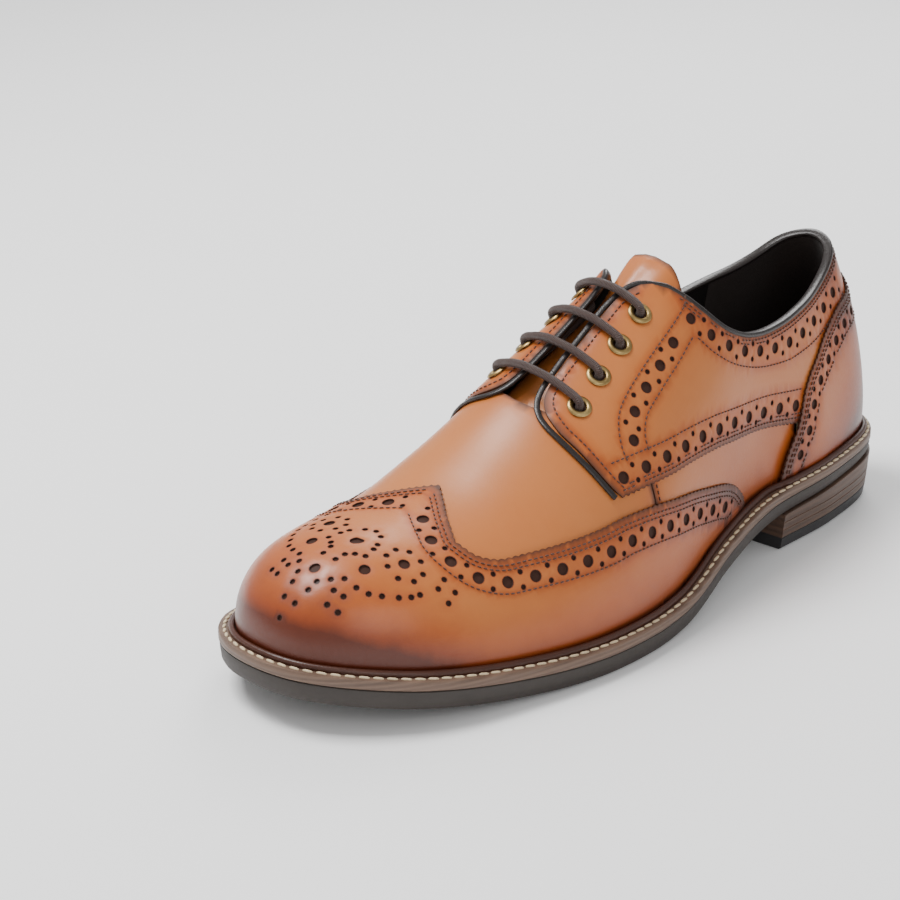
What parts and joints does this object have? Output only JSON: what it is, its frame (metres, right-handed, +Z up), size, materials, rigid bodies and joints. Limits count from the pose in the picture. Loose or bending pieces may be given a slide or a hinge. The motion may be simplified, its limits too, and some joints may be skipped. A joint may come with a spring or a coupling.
{
  "type": "brogue derby shoe",
  "caption": "Left leather wingtip lace-up shoe with open lacing, a welted rubber sole and a stacked heel.",
  "frame": {"origin": "centre of the shoe's footprint box, on the floor under the heel and ball", "axes": "+Z up, toe towards -Y, heel towards +Y, +X towards the outer (lateral) side of this left shoe"},
  "size_m": [0.1078, 0.3032, 0.1111],
  "materials": {
    "rubber_sole": "satin black moulded rubber",
    "rubber_heel": "satin black rubber",
    "stacked_leather": "stacked leather layers, waxed dark brown edge",
    "welt_leather": "waxed brown edge",
    "welt_thread": "cream waxed thread",
    "rand_leather": "dark brown, low sheen",
    "cork": "granular cork",
    "shank_steel": "plain spring steel",
    "insole_leather": "natural vegetable-tanned",
    "sock_leather": "smooth black",
    "lining_leather": "smooth black",
    "heel_grip_suede": "dark brown napped suede",
    "reinforcement": "stiffened cloth",
    "upper_leather": "smooth burnished tan with soft shine",
    "binding_leather": "glossy black edge",
    "antique_brass": "aged, low shine",
    "tongue_leather": "smooth tan",
    "waxed_lace": "waxed dark brown braid"
  },
  "bodies": {
    "shoe": {"outsole": "rubber_sole", "heel_top_piece": "rubber_heel", "heel_lift_lower": "stacked_leather", "heel_lift_middle": "stacked_leather", "heel_lift_upper": "stacked_leather", "welt": "welt_leather", "welt_thread": "welt_thread", "rand": "rand_leather", "cork_filler": "cork", "shank": "shank_steel", "insole": "insole_leather", "sock_liner": "sock_leather", "vamp_lining": "lining_leather", "lateral_quarter_lining": "lining_leather", "medial_quarter_lining": "lining_leather", "heel_grip": "heel_grip_suede", "toe_puff": "reinforcement", "heel_stiffener": "reinforcement", "lateral_interlining": "reinforcement", "medial_interlining": "reinforcement", "vamp": "upper_leather", "lateral_side_panel": "upper_leather", "medial_side_panel": "upper_leather", "wing_cap": "upper_leather", "lateral_quarter": "upper_leather", "medial_quarter": "upper_leather", "heel_foxing": "upper_leather", "edge_binding": "binding_leather", "lateral_eyelets": "antique_brass", "medial_eyelets": "antique_brass", "lace": "waxed_lace"},
    "tongue": {"tongue": "tongue_leather", "tongue_lining": "lining_leather"}
  },
  "joints": [
    {"name": "tongue_hinge", "type": "hinge", "parent": "shoe", "child": "tongue", "pos_m": [-0.00225, -0.0382, 0.069], "axis": [-1, 0, 0], "range_deg": [0, 8]}
  ]
}
